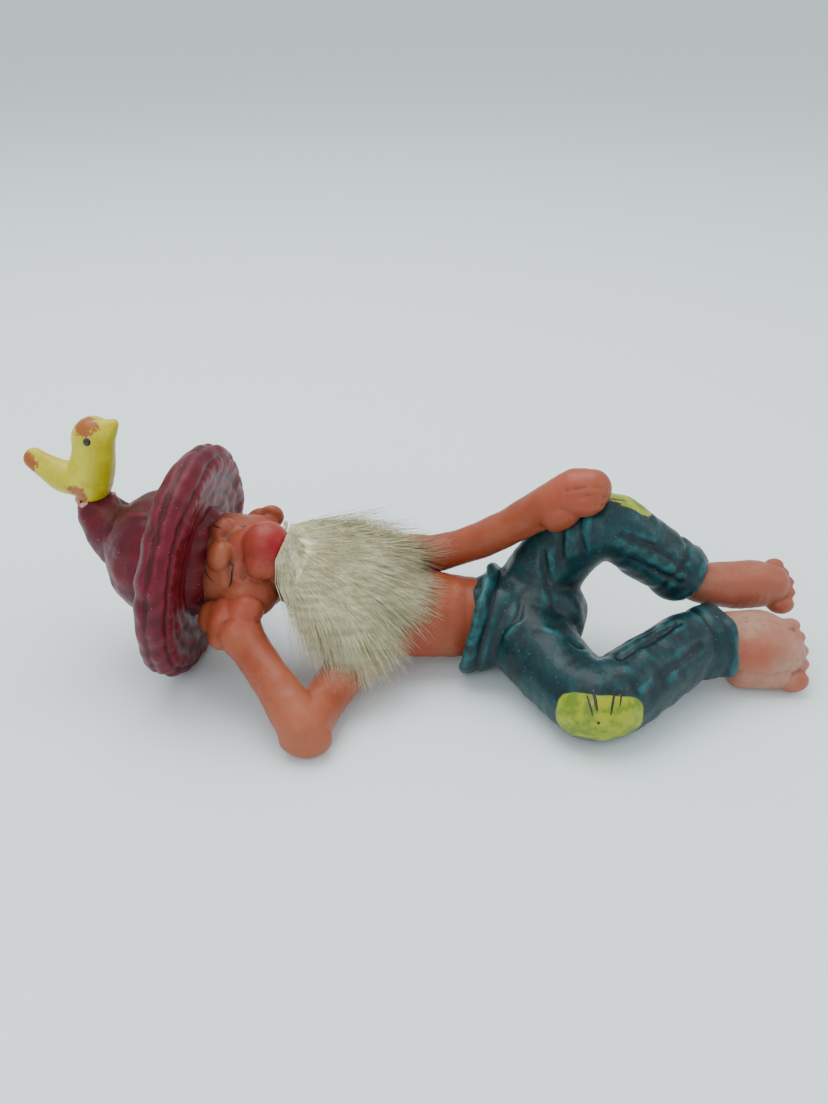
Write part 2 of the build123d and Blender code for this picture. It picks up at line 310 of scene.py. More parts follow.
# ---- shader maths and finishes ---------------------------------------------------------------------------
class Amount:
    """A number that changes over a surface. Python sums on it add Math nodes."""

    def __init__(self, tree, socket):
        self.tree, self.socket = tree, socket

    def sum(self, operation, *terms, clamp=False):
        node = self.tree.nodes.new("ShaderNodeMath")
        node.operation = operation
        node.use_clamp = clamp
        for place, term in zip(node.inputs, terms):
            if isinstance(term, Amount):
                self.tree.links.new(term.socket, place)
            else:
                place.default_value = term
        return Amount(self.tree, node.outputs[0])

    def __add__(self, other): return self.sum("ADD", self, other)
    def __radd__(self, other): return self.sum("ADD", other, self)
    def __sub__(self, other): return self.sum("SUBTRACT", self, other)
    def __rsub__(self, other): return self.sum("SUBTRACT", other, self)
    def __mul__(self, other): return self.sum("MULTIPLY", self, other)
    def __rmul__(self, other): return self.sum("MULTIPLY", other, self)
    def __truediv__(self, other): return self.sum("DIVIDE", self, other)
    def __pow__(self, other): return self.sum("POWER", self, other)
    def max(self, other): return self.sum("MAXIMUM", self, other)
    def absolute(self): return self.sum("ABSOLUTE", self)
    def clamp(self): return self.sum("ADD", self, 0.0, clamp=True)

    def ramp(self, low, high):
        """0 up to low, 1 from high, soft between; falls instead where low is the greater."""
        node = self.tree.nodes.new("ShaderNodeMapRange")
        node.interpolation_type = "SMOOTHSTEP"
        self.tree.links.new(self.socket, node.inputs["Value"])
        node.inputs["From Min"].default_value = min(low, high)
        node.inputs["From Max"].default_value = max(low, high)
        node.inputs["To Min"].default_value = 0.0 if low < high else 1.0
        node.inputs["To Max"].default_value = 1.0 if low < high else 0.0
        return Amount(self.tree, node.outputs["Result"])


class Finish:
    """A material, built up from a base colour by masks."""

    def __init__(self, name, roughness, coat=0.0, specular=0.5, subsurface=0.0):
        self.material = bpy.data.materials.new(name)
        self.material.use_nodes = True
        self.tree = self.material.node_tree
        self.shader = self.tree.nodes["Principled BSDF"]
        self.shader.inputs["Roughness"].default_value = roughness
        self.shader.inputs["Coat Weight"].default_value = coat
        self.shader.inputs["Coat Roughness"].default_value = 0.18
        self.shader.inputs["Specular IOR Level"].default_value = specular
        self.shader.inputs["Subsurface Weight"].default_value = subsurface
        self.shader.inputs["Subsurface Scale"].default_value = 0.0015
        self.place = self.node("ShaderNodeTexCoord", {}, {}, "Object").socket

    def node(self, kind, settings, inputs, output=0):
        """Any node: its settings first, then the values or links of its sockets."""
        node = self.tree.nodes.new(kind)
        for key, value in settings.items():
            setattr(node, key, value)
        for key, value in inputs.items():
            if isinstance(value, Amount):
                self.tree.links.new(value.socket, node.inputs[key])
            elif isinstance(value, bpy.types.NodeSocket):
                self.tree.links.new(value, node.inputs[key])
            else:
                node.inputs[key].default_value = value
        return Amount(self.tree, node.outputs[output])

    def noise(self, size, detail=4.0, rough=0.55, stretch=(1, 1, 1), turn=(0, 0, 0)):
        """Cloudy variation with lumps about a size across, in millimetres."""
        placed = self.node("ShaderNodeMapping", {},
                           {"Vector": self.place, "Scale": stretch, "Rotation": turn})
        return self.node("ShaderNodeTexNoise", {}, {"Vector": placed, "Scale": 1 / (size * MM),
                                                    "Detail": detail, "Roughness": rough})

    def axis(self, way, centre):
        """How far along a direction a point lies from a centre, in millimetres."""
        offset = self.node("ShaderNodeVectorMath", {"operation": "SUBTRACT"},
                           {0: self.place, 1: Vector(centre) * MM})
        return self.node("ShaderNodeVectorMath", {"operation": "DOT_PRODUCT"},
                         {0: offset, 1: Vector(way).normalized()}, "Value") * (1 / MM)

    def far(self, centre):
        """The distance from a centre, in millimetres."""
        return self.node("ShaderNodeVectorMath", {"operation": "DISTANCE"},
                         {0: self.place, 1: Vector(centre) * MM}, "Value") * (1 / MM)

    def proudness(self):
        """How proud the surface stands, from -1 in a crease to 1 on a ridge."""
        return self.node("ShaderNodeAttribute", {"attribute_name": "proudness"}, {}, "Fac")

    def mix(self, mask, under, over):
        """One colour laid over another through a mask."""
        under, over = ((*c, 1) if isinstance(c, tuple) and len(c) == 3 else c for c in (under, over))
        return self.node("ShaderNodeMix", {"data_type": "RGBA"}, {0: mask, 6: under, 7: over}, 2)

    def finish(self, colour, roughness=None, height=None, depth=0.0002, strength=0.6):
        """Send the colour, the roughness and the relief to the surface."""
        self.tree.links.new(colour.socket, self.shader.inputs["Base Color"])
        if roughness is not None:
            self.tree.links.new(roughness.clamp().socket, self.shader.inputs["Roughness"])
        if height is not None:
            bump = self.node("ShaderNodeBump", {},
                             {"Height": height, "Distance": depth, "Strength": strength}, "Normal")
            self.tree.links.new(bump.socket, self.shader.inputs["Normal"])
        return self.material


# ---- colours of the paints, in linear light ----
FLESH, PALE_FLESH, DEEP_FLESH = (0.29, 0.058, 0.022), (0.35, 0.095, 0.042), (0.18, 0.030, 0.012)
RED_FLESH, CREASE_SHADE_BROWN, SPECK_BROWN = (0.38, 0.062, 0.030), (0.16, 0.030, 0.015), (0.10, 0.030, 0.020)
NOSE_PINK, NOSE_RED, HAIRLINE = (0.30, 0.036, 0.024), (0.27, 0.003, 0.006), (0.10, 0.055, 0.035)
NEAR_FOOT, NEAR_FOOT_PALE = (0.36, 0.140, 0.085), (0.40, 0.220, 0.150)
FAR_FOOT, FAR_FOOT_PALE = (0.32, 0.085, 0.045), (0.35, 0.130, 0.080)
DEEP_TEAL, TEAL, STREAK_TEAL = (0.001, 0.015, 0.018), (0.001, 0.030, 0.036), (0.001, 0.052, 0.058)
FOLD_HIGHLIGHT_TEAL, CREASE_SHADE_TEAL, TEAL_SPECK = (0.012, 0.125, 0.135), (0.002, 0.010, 0.014), (0.15, 0.21, 0.21)
LEAF, LIME, PATCH_SHADE = (0.14, 0.22, 0.010), (0.33, 0.36, 0.012), (0.09, 0.16, 0.012)
MAROON, CRIMSON, BRUSHED_CRIMSON = (0.070, 0.001, 0.006), (0.115, 0.001, 0.009), (0.150, 0.005, 0.022)
LIT_FRONT_CRIMSON, RIDGE_HIGHLIGHT_CRIMSON = (0.150, 0.001, 0.005), (0.160, 0.008, 0.026)
CREASE_SHADE_MAROON, CONE_BROWN, PINK_SPECK = (0.040, 0.001, 0.005), (0.070, 0.020, 0.016), (0.36, 0.16, 0.19)
YELLOW, LEMON = (0.52, 0.43, 0.008), (0.64, 0.58, 0.025)
OLIVE, ORANGE = (0.30, 0.21, 0.008), (0.30, 0.050, 0.014)
CREAM, WHITE_FUR, FUR_ROOT = (0.60, 0.55, 0.33), (0.86, 0.82, 0.58), (0.50, 0.41, 0.25)
VENT_SHADOW_BLACK = (0.012, 0.012, 0.012)


def flesh_paint(name, pale_spots=(), red_spots=(), hairline=False, nose=False, base=FLESH, pale=PALE_FLESH):
    """Sprayed flesh-coloured paint, thin in places, redder where it was sprayed twice, with painted shade in
    the creases and a painted highlight on proud points.
    """
    f = Finish(name, 0.42, coat=0.08, specular=0.3, subsurface=0.03)
    cloud = f.noise(14, 5)
    colour = f.mix(cloud.ramp(0.42, 0.68), base, pale)
    colour = f.mix(f.noise(7, 4).ramp(0.5, 0.75) * 0.45, colour, DEEP_FLESH)
    for centre, radius in pale_spots:
        ragged = f.far(centre) + (f.noise(6) - 0.5) * 14
        colour = f.mix(ragged.ramp(radius, radius * 0.35) * 0.8, colour, PALE_FLESH)
    for centre, radius in red_spots:
        ragged = f.far(centre) + (f.noise(5) - 0.5) * 8
        colour = f.mix(ragged.ramp(radius, radius * 0.3) * 0.6, colour, RED_FLESH)
    if hairline:
        back = f.axis(CROWN, HEAD) + (f.noise(5) - 0.5) * 5
        colour = f.mix(back.ramp(3.5, 10.5) * 0.85, colour, HAIRLINE)
    if nose:
        ragged = f.far(NOSE) + (f.noise(4) - 0.5) * 3
        colour = f.mix(ragged.ramp(14.5, 7.5) * 0.8, colour, NOSE_PINK)
        colour = f.mix((f.far(NOSE + Vector((2.2, -3.0, 1.5))) + (f.noise(4) - 0.5) * 3).ramp(8.4, 3.6),
                       colour, NOSE_RED)
    # Painted shade: sunken points are darkened towards brown.
    colour = f.mix((f.proudness() * -1).ramp(0.25, 0.9) * 0.6, colour, CREASE_SHADE_BROWN)
    # Painted highlight: proud points are lightened towards the pale flesh.
    colour = f.mix(f.proudness().ramp(0.35, 1.0) * 0.35, colour, PALE_FLESH)
    specks = f.noise(1.1, 1.0).ramp(0.735, 0.76)
    colour = f.mix(specks * 0.7, colour, SPECK_BROWN)
    return f.finish(colour, 0.36 + f.noise(4) * 0.2, f.noise(0.9, 3) + f.noise(5, 2) * 0.8, 0.00025, 0.35)


def teal_paint():
    """Dark streaky trousers, with a lighter teal painted on the tops of the folds as a highlight, painted
    shade in the creases, and two painted patches.
    """
    f = Finish("teal_vinyl", 0.40, coat=0.10, specular=0.3)
    streaks = f.noise(5, 6, 0.65, (1, 0.45, 1), (0, 0.3, 0.5))
    colour = f.mix(f.noise(16, 4).ramp(0.35, 0.7), DEEP_TEAL, TEAL)
    colour = f.mix(streaks.ramp(0.46, 0.68) * 0.75, colour, STREAK_TEAL)
    # Painted highlight: lighter teal on the tops of the folds, broken up by the brush streaks.
    brushed = (f.proudness().ramp(0.05, 0.75) * streaks.ramp(0.3, 0.6)).clamp()
    colour = f.mix(brushed * 0.6, colour, FOLD_HIGHLIGHT_TEAL)
    # Painted shade: the creases of the folds are darkened to near-black teal.
    colour = f.mix((f.proudness() * -1).ramp(0.1, 0.8) * 0.85, colour, CREASE_SHADE_TEAL)
    edge = (f.noise(5) - 0.5) * 0.35
    low = ((f.axis((1, 0, 0), (60.5, 0, 0)) / 14.0).absolute() ** 3.0
           + (f.axis((0, 0.1, 1), (0, -47, 14.0)) / 8.8).absolute() ** 3.0 + edge).ramp(1.06, 0.94)
    low = low * f.axis((0, -1, 0), (0, -34, 0)).ramp(0.0, 1.0)
    high = ((f.axis((0.84, 0, -0.54), (73.5, 0, 64)) / 9.5).absolute() ** 3.0
            + (f.axis((0, 1, 0), (0, 12, 0)) / 7.5).absolute() ** 3.0 + edge).ramp(1.06, 0.94)
    high = high * f.axis((0.54, 0, 0.84), (68, 0, 60)).ramp(0.0, 1.0)
    patch = f.mix(f.noise(5, 4).ramp(0.38, 0.62), LEAF, LIME)
    patch = f.mix(f.noise(2.2, 4, 0.6, (1, 0.4, 1)).ramp(0.6, 0.75) * 0.4, patch, PATCH_SHADE)
    colour = f.mix(low.max(high).clamp(), colour, patch)
    # Painted shadow: a black dot stands for the dark inside of the vent hole in the near patch; no hole is
    # cut.
    vent_shadow = f.far((59.3, -48.6, 14.5)).ramp(0.8, 0.5)
    colour = f.mix(vent_shadow, colour, VENT_SHADOW_BLACK)
    specks = f.noise(1.0, 1.0).ramp(0.74, 0.765)
    colour = f.mix(specks * 0.5, colour, TEAL_SPECK)
    return f.finish(colour, 0.30 + f.noise(3) * 0.3, f.noise(1.0, 4) + streaks * 1.2, 0.0003, 0.5)


def maroon_paint():
    """Crimson hat paint, with the front of the roll painted brighter as if lit, painted highlights on the
    ridges, painted shade in the creases, and brown in the hollow of the cone.
    """
    f = Finish("maroon_vinyl", 0.42, coat=0.06, specular=0.25)
    brushed = f.noise(6, 6, 0.6, (1, 0.4, 1))
    colour = f.mix(f.noise(12, 4).ramp(0.38, 0.68), MAROON, CRIMSON)
    colour = f.mix(brushed.ramp(0.52, 0.72) * 0.5, colour, BRUSHED_CRIMSON)
    # Painted light: the front of the roll, on the side away from the crown, is painted a brighter crimson.
    colour = f.mix((f.axis(BRIM_WAY, BRIM) + (f.noise(6) - 0.5) * 6).ramp(-2.5, -6.0) * 0.55, colour,
                   LIT_FRONT_CRIMSON)
    # Painted highlight: ridges of the brim and cone are lightened.
    colour = f.mix(f.proudness().ramp(0.1, 0.8) * 0.55, colour, RIDGE_HIGHLIGHT_CRIMSON)
    # Painted shade: creases are darkened to deep maroon.
    colour = f.mix((f.proudness() * -1).ramp(0.1, 0.8) * 0.8, colour, CREASE_SHADE_MAROON)
    hollow = (f.far((-96, 18, 57)) + (f.noise(5) - 0.5) * 10).ramp(17, 7)
    colour = f.mix(hollow * 0.75, colour, CONE_BROWN)
    specks = f.noise(1.0, 1.0).ramp(0.74, 0.765)
    colour = f.mix(specks * 0.6, colour, PINK_SPECK)
    return f.finish(colour, 0.32 + f.noise(3) * 0.28, f.noise(1.0, 4) + brushed * 1.3, 0.0003, 0.5)


def yellow_paint():
    """Bright yellow bird paint, rubbed through to orange on the head, the tail and the wing."""
    f = Finish("yellow_vinyl", 0.40, coat=0.12, specular=0.3)
    colour = f.mix(f.noise(6, 4).ramp(0.35, 0.7), YELLOW, LEMON)
    colour = f.mix(f.noise(3, 4).ramp(0.55, 0.75) * 0.3, colour, OLIVE)
    rubbed = None
    for centre, radius in (((-114, 22, 89), 6.0), ((-137, 26, 71), 5.0), ((-119.5, 19, 61), 4.6)):
        spot = (f.far(centre) + (f.noise(2.0, 5, 0.7) - 0.5) * 8).ramp(radius, radius - 1.0)
        rubbed = spot if rubbed is None else rubbed.max(spot)
    colour = f.mix(rubbed * 0.9, colour, ORANGE)
    return f.finish(colour, 0.32 + f.noise(3) * 0.25, f.noise(0.9, 3) + f.noise(4) * 0.6, 0.00025, 0.4)


def hair_paint():
    """Cream fur: warmer near the skin, whiter at the tips, each lock a little different."""
    f = Finish("fur", 0.5, specular=0.35, subsurface=0.0)
    lock = f.noise(2.2, 3, 0.6, (0.25, 1, 1))
    depth = f.axis(BEARD_OUT, BEARD_ROOT)
    colour = f.mix(lock.ramp(0.35, 0.7), CREAM, WHITE_FUR)
    colour = f.mix(depth.ramp(1, -6) * 0.3, colour, FUR_ROOT)
    return f.finish(colour)


def plain_paint(name, light, dark, size, roughness, coat=0.0):
    """A plain finish with soft mottling and a little grain."""
    f = Finish(name, roughness, coat=coat)
    colour = f.mix(f.noise(size, 5).ramp(0.35, 0.7), dark, light)
    return f.finish(colour, roughness - 0.08 + f.noise(size) * 0.16, f.noise(size / 4, 3), 0.0002, 0.5)


def done(piece, material, slot, *nodes, body="figure", smooth=True):
    """Give a finished piece its material, and tell the frame what it stands for and what it moves with."""
    piece.data.materials.clear()
    piece.data.materials.append(material)
    if smooth:
        for face in piece.data.polygons:
            face.use_smooth = True
    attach(piece, body)
    if nodes:
        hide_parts(*nodes)
    return piece


# ---- trunk -----------------------------------------------------------------------------------------------
def make_torso():
    """Neck, chest and belly, going down inside the trousers."""
    trunk = [(-44, 11.5, 33.5, 9.5), (-28, 11, 27.5, 13.2), (-9, 9.5, 21.5, 16.6), (7, 9, 19, 15.6),
             (20, 9, 17.8, 14.6), (38, 8.5, 18, 14.0)]
    piece = clay("torso_skin", [trunk], grain=0.8)
    press(piece, [[(-2, -6, 14), (14, -7, 10)], [(0, -6, 26), (15, -5, 27)]], 3, 0.5)
    roughen(piece, 7, 0.25, 1)
    stand_flat(piece)
    return piece


# ---- head ------------------------------------------------------------------------------------------------
def make_head():
    """Round face with a bulb nose, heavy eyelids, one ear showing, and a cheek pushed up by the fist."""
    lumps = [(HEAD, 18.2, CROWN, (1.17, 1, 1)),
             (NOSE, 8.1, (1, 0.1, 0.1), (1.02, 1.05, 1.05)),
             (NOSE + Vector((-1.5, -3.5, -4.5)), 6.0, (1, 0, 0), (1, 1, 1)),
             (NOSE + Vector((-7, 4, -3)), 6.5, (1, 0, 0), (1.3, 1, 1)),
             ((-57, -3, 36), 9.5, (1, 0.3, 0), (1.1, 1, 1)),
             ((-56.5, 14, 47), 9.0, (1, 0.3, 0), (1.1, 1, 1)),
             ((-50, 4, 41), 8.0, (1, 0, 0), (1.1, 1.2, 1)),
             ((-66, -3.0, 50.5), 4.6, (0.2, 0.7, 0.6), (1.2, 1, 1)),
             ((-66, 5.5, 54.6), 4.6, (0.2, 0.7, 0.6), (1.2, 1, 1)),
             ((-54.5, 22.5, 49), 6.2, (1, 0, 0.2), (1.05, 0.62, 1.0)),
             ((-51, 22.0, 52), 4.6, (1, 0, 0.2), (1.0, 0.7, 1.0)),
             ((-66, -5, 25), 5.0, (1, 0, 0.2), (1.0, 0.7, 1.0))]
    piece = clay("head_skin", [[(-50, 11, 36, 8), (-42, 11.5, 33, 8)]], lumps, grain=0.5, soften=9)
    press(piece, [[(-62.5, -8, 42), (-63.2, -7, 46), (-61.5, -5.5, 49.5)],
                  [(-58.5, -7.5, 43), (-57, -6, 48)],
                  [(-65, 1, 56), (-62, 2, 57.5)]], 1.0, 0.55)
    press(piece, [[(-57, 20, 53.5), (-52.5, 19.5, 55), (-49, 20.5, 53)]], 1.4, 0.9)
    roughen(piece, 5, 0.2, 2)
    return piece


def make_face_strokes(skin):
    """Closed eyes and brows, painted with a fine brush."""
    routes = [([(-68.6, -8.6, 42.2), (-71.0, -6.0, 45.0), (-71.6, -4.2, 48.2), (-70.2, -2.6, 51.0),
                (-67.0, -1.4, 53.6)], 0.75),
              ([(-63.2, -8.8, 41.6), (-62.2, -8.0, 45.0), (-61.4, -6.4, 49.4)], 0.8),
              ([(-65.6, 2.6, 57.8), (-67.8, 4.6, 57.2), (-66.4, 6.6, 57.8), (-63.6, 7.6, 58.4)], 0.75),
              ([(-59.0, 5.4, 58.0), (-57.6, 6.4, 58.4)], 0.9)]
    return strokes("face_strokes", routes, skin)


# ---- arms ------------------------------------------------------------------------------------------------
def make_right_arm():
    """The arm that props the head, with a soft fist against the cheek."""
    upper = [(-14, 1, 20.5, 9.3), (-19, -11, 16.5, 9.2), (-28.5, -27, 11, 7.5), (-36.4, -43.6, 8.8, 8.9)]
    fore = [(-36.4, -43.6, 8.8, 8.9), (-46, -32.5, 17.5, 7.1), (-54.5, -21, 23, 7.0), (-60, -14, 27, 8.2)]
    fist = [((-63.5, -10.5, 29), 8.2, (0.3, 0.6, 0.4), (1.1, 1, 1)),
            ((-70, -9.5, 29.5), 4.6, (0, 0.6, 0.7), (1.3, 1, 1)),
            ((-66.5, -14.5, 25.5), 4.4, (0, 0.6, 0.7), (1.2, 1, 1)),
            ((-58, -11.5, 33.5), 6.0, (0.7, 0.2, 0.5), (1.2, 1, 1)),
            ((-35.5, -45.8, 6.5), 7.2, (1, 0, 0), (1.25, 0.9, 0.9))]
    piece = clay("right_arm_skin", [upper, fore], fist, grain=0.6)
    press(piece, [[(-66.5, -17, 32), (-61, -17.5, 33.5)], [(-64, -19, 27), (-59, -19.5, 28)]], 1.1, 0.5)
    press(piece, [[(-40, -34, 15), (-37, -32, 12)]], 2.0, 0.8)
    roughen(piece, 6, 0.3, 3)
    stand_flat(piece)
    return piece


def make_left_arm():
    """The arm along the body, its hand resting on the raised knee with the fingers together."""
    arm = [(-12, 17, 28, 9), (-4, 24, 34, 8.4), (8, 23.5, 36, 6.9), (25, 20, 44, 6.6), (40, 13, 57, 6.9),
           (48, 9, 64.5, 7.6), (55, 7, 69.8, 7.9), (60, 5.5, 71.3, 7.0)]
    lumps = [((50, 4, 62.5), 5.5, (1, 0, 0.8), (1.4, 0.9, 1)),
             ((57, 3, 68), 5.2, (1, -0.2, 0.1), (1.5, 1, 1))]
    piece = clay("left_arm_skin", [arm], lumps, grain=0.6)
    fingers = [[(51, 1.5, 73 - i * 2.6), (58, -0.6, 75.5 - i * 3.0), (64.5, -0.4, 74.5 - i * 3.4)]
               for i in range(4)]
    press(piece, fingers, 0.8, 0.5)
    press(piece, [[(36, 7, 50), (44, 3, 57)]], 2.2, 0.5)
    roughen(piece, 6, 0.3, 4)
    return piece


# ---- trousers --------------------------------------------------------------------------------------------
def ring_of(centre, way, radius, bead, turns=28, wave=0.0):
    """Stations round a hoop, waving a little in and out."""
    side = way.orthogonal().normalized()
    other = way.cross(side)
    rows = []
    for i in range(turns + 1):
        a = 2 * math.pi * i / turns
        reach = radius + wave * math.sin(a * 5 + 0.7)
        rows.append((*(centre + (side * math.cos(a) + other * math.sin(a)) * reach), bead))
    return rows


def make_trousers():
    """Rolled-down waist, hips, a raised left knee and a right knee on the ground, and wide cuffs."""
    hips = [(31, 8, 18.5, 16.5), (38, 8, 19, 17.8), (45, 7, 20.5, 17.5)]
    right = [(40, -2, 17.5, 15.5), (50, -20.5, 13.8, 13.6), (61, -35.4, 13.2, 13.4), (80, -23, 16, 13.2),
             (95, -11.5, 18.3, 12.4), (102, -8, 18, 13.0)]
    left = [(42, 12, 23, 14.5), (52, 14, 42, 13.2), (66.0, 9, 55.6, 11.9), (83, 10, 44.5, 11.3),
            (94, 10.3, 36.5, 11.2)]
    flare = []
    for i in range(44):
        a = 2 * math.pi * i / 44
        side = WAIST_WAY.orthogonal().normalized()
        out = side * math.cos(a) + WAIST_WAY.cross(side) * math.sin(a)
        mouth = WAIST + out * 18.9 + WAIST_WAY * 1.5
        middle = WAIST + WAIST_WAY * 6.5 + out * 16.4
        root = Vector((34, 8, 18.6)) + out * 15.5
        flare.append([(*mouth, 1.9), (*middle, 1.9), (*root, 2.6)])
    rolls = [ring_of(WAIST + WAIST_WAY * 1.4, WAIST_WAY, 18.8, 2.0, wave=0.3),
             ring_of(Vector((105.2, -7.2, 17.6)), NEAR_CUFF_WAY, 11.6, 2.0, wave=0.8),
             ring_of(Vector((95.6, 10.4, 35.3)), FAR_CUFF_WAY, 9.5, 1.9, wave=0.7)]
    holes = [[(103.5, -7.9, 17.7, 10.6), (112, -4.4, 17, 11.5)],
             [(94.2, 10.3, 36.4, 8.8), (103, 10.8, 30, 9.5)]]
    piece = clay("trousers_skin", [hips, right, left, *flare, *rolls], grain=0.75, soften=7, holes=holes)
    folds = [[(38, -12, 24), (46, -16, 26), (56, -22, 26)], [(36, -14, 14), (46, -25, 16), (54, -36, 18)],
             [(48, -6, 33), (46, 2, 40), (44, 4, 48)], [(52, -4, 38), (50, 1, 48), (50, 4, 57)],
             [(58, -3, 44), (57, 0, 54), (57, 3, 62)], [(70, -4, 50), (82, -2, 44), (92, 0, 38)],
             [(70, -2, 58), (82, 0, 52), (94, 2, 42)], [(66, -5, 47), (76, -4, 41), (86, -2, 35)],
             [(68, -30, 27), (80, -22, 29), (90, -14, 30)], [(72, -40, 20), (84, -32, 24), (96, -22, 26)],
             [(62, -24, 26), (72, -18, 26), (82, -14, 27)], [(30, -12, 22), (36, -10, 29), (38, -2, 36)],
             [(40, 24, 30), (48, 28, 40), (56, 26, 50)], [(70, 22, 52), (82, 21, 44), (92, 21, 36)],
             [(60, -30, 3), (76, -26, 3), (92, -14, 7)], [(34, 22, 30), (44, 26, 26), (52, 22, 14)]]
    press(piece, folds, 1.5, 1.0)
    ridges = [[(x + 1.5, y - 1.5, z + 2.8) for x, y, z in fold] for fold in folds]
    press(piece, ridges, 1.5, -0.75)
    hems = [ring_of(WAIST + WAIST_WAY * 5.5, WAIST_WAY, 19.0, 1),
            ring_of(Vector((98, -10.6, 18.1)), NEAR_CUFF_WAY, 13, 1),
            ring_of(Vector((89, 10, 40)), FAR_CUFF_WAY, 11.4, 1)]
    press(piece, [[row[:3] for row in hem] for hem in hems], 1.3, 0.8)
    roughen(piece, 5, 0.45, 5)
    stand_flat(piece)
    return piece


def make_patch_strokes(skin):
    """Black stitches brushed across the edges of the knee patches."""
    near = [([(54, -46, 25), (56, -48, 20.5), (57, -49, 17)], 0.7),
            ([(57, -44, 25.5), (58, -47, 22), (58.6, -48.5, 19)], 1.1),
            ([(64.5, -44, 26), (64, -47, 22), (63.4, -49, 17.5)], 0.9),
            ([(67, -43, 26), (66.6, -46, 22.5), (66, -48, 20)], 0.6),
            ([(53, -45, 5), (56, -46, 6.2), (58.5, -47, 7.5)], 0.6),
            ([(57, -46, 4), (59, -47, 6), (60, -47.5, 8)], 0.6),
            ([(68, -44, 8.5), (70, -43, 10), (72, -41, 11)], 0.6)]
    far = [([(66, 6, 69), (69.5, 6.5, 67.5), (72, 7.5, 66)], 0.8), ([(67, 4.5, 68), (70.5, 5, 66.2)], 1.0),
           ([(76, 4, 60.5), (79, 6, 60.5)], 0.7), ([(77.5, 3.5, 59.5), (80, 6, 59.5)], 0.7)]
    return strokes("patch_stitches", near + far, skin)


# ---- feet ------------------------------------------------------------------------------------------------
def make_foot(name, ankle, toes, grain, seed):
    """A bare foot with five stubby toes side by side; toes are places with radii."""
    piece = clay(name, ankle, [(place, radius, (1, 0, 0), (1.35, 1, 1)) for *place, radius in toes], grain,
                 soften=6)
    middles = [Vector(a[:3]).lerp(Vector(b[:3]), 0.5) for a, b in zip(toes, toes[1:])]
    gaps = [[tuple(middle + Vector((-4, 0, 0))), tuple(middle + Vector((6, 0, 0)))] for middle in middles]
    press(piece, gaps, 1.2, 0.8)
    roughen(piece, 6, 0.3, seed)
    stand_flat(piece)
    return piece


def make_right_foot():
    """The near foot, lying on the ground with its toes in a row."""
    foot = [[(99, -9, 18, 8.2), (106, -7, 17, 9), (114, -5.5, 14.5, 10.4), (122, -5, 13.0, 11.6),
             (129, -5.5, 12, 9.6)],
            [(112, -2, 19, 7), (122, 0, 19, 6.5), (130, -1, 18, 5)],
            [(116, -10, 8, 6.5), (128, -11, 7, 5.8)]]
    toes = [(133.6, -12.5, 5.2, 4.4), (134.8, -9.4, 9.6, 3.6), (135.2, -6.4, 13.4, 3.4),
            (134.6, -3.4, 17.0, 3.2), (133.4, -0.4, 20.0, 3.0)]
    return make_foot("right_foot_skin", foot, toes, 0.55, 6)


def make_left_foot():
    """The far foot, raised behind the near one."""
    foot = [[(91, 10.3, 38, 7), (103, 11.5, 31, 7.6), (113, 14.5, 28, 8.4), (122, 16.5, 27, 8.8),
             (130, 18, 26, 7.8)]]
    toes = [(134.0, 13.5, 20.4, 3.8), (135.2, 15.5, 24.0, 3.3), (135.2, 17.8, 27.0, 3.1),
            (134.0, 20.2, 29.4, 2.9), (132.4, 22.4, 31.2, 2.8)]
    return make_foot("left_foot_skin", foot, toes, 0.55, 7)


# ---- hat -------------------------------------------------------------------------------------------------
def make_brim():
    """A thick uneven roll that swells inwards until it meets the head."""
    side = (Vector((0, 1, 0)) - BRIM_WAY * BRIM_WAY.y).normalized()
    other = side.cross(BRIM_WAY)
    swells = ((29.0, 6.0), (23.0, 5.5), (17.5, 4.6))       # radius of each inner hoop, and of its beads
    roll = []
    for i in range(73):
        a = 2 * math.pi * i / 72
        bulge = 0.5 * math.sin(3 * a + 1) + 0.35 * math.sin(7 * a)
        out = side * math.cos(a) + other * math.sin(a)
        roll.append((*(BRIM + out * (35.3 + 0.4 * bulge)), 6.6 + 0.35 * bulge))
    inner = [[(*(BRIM + (side * math.cos(a) + other * math.sin(a)) * radius), bead)
              for a in np.linspace(0, 2 * math.pi, 49)] for radius, bead in swells]
    bpy.ops.mesh.primitive_cylinder_add(vertices=72, radius=33 * MM, depth=3.0 * MM, location=BRIM * MM,
                                        rotation=BRIM_WAY.to_track_quat("Z", "Y").to_euler())
    web = bpy.context.object
    beads = [add_bead(b, b[3]) for string in (roll, *inner) for b in between(string, 0.35)]
    piece = join([*beads, web], "hat_brim_skin")
    fuse(piece, 0.75)
    apply_modifier(piece, "SMOOTH", factor=0.5, iterations=6)
    stitches = []
    for i in range(58):
        a = 2 * math.pi * i / 58
        out = side * math.cos(a) + other * math.sin(a)
        start = BRIM + out * 37.5 - BRIM_WAY * 5.8
        stitches.append([tuple(start), tuple(start - out * 3.2 - BRIM_WAY * 1.2)])
    press(piece, stitches, 0.8, -0.2)
    press(piece, [[row[:3] for row in ring_of(BRIM + BRIM_WAY * 0.5, BRIM_WAY, 42.0, 1, 60)],
                  [row[:3] for row in ring_of(BRIM - BRIM_WAY * 5.8, BRIM_WAY, 38.6, 1, 60, 0.6)]], 1.1, 0.8)
    lobes = []
    for a in np.arange(1.5, 4.5, 0.5):
        out = side * math.cos(a) + other * math.sin(a)
        lobes.append([tuple(BRIM + out * 42.5 + BRIM_WAY * 6), tuple(BRIM + out * 43 - BRIM_WAY * 5)])
    press(piece, lobes, 2.6, 0.45)
    roughen(piece, 5, 0.5, 8)
    stand_flat(piece)
    return piece


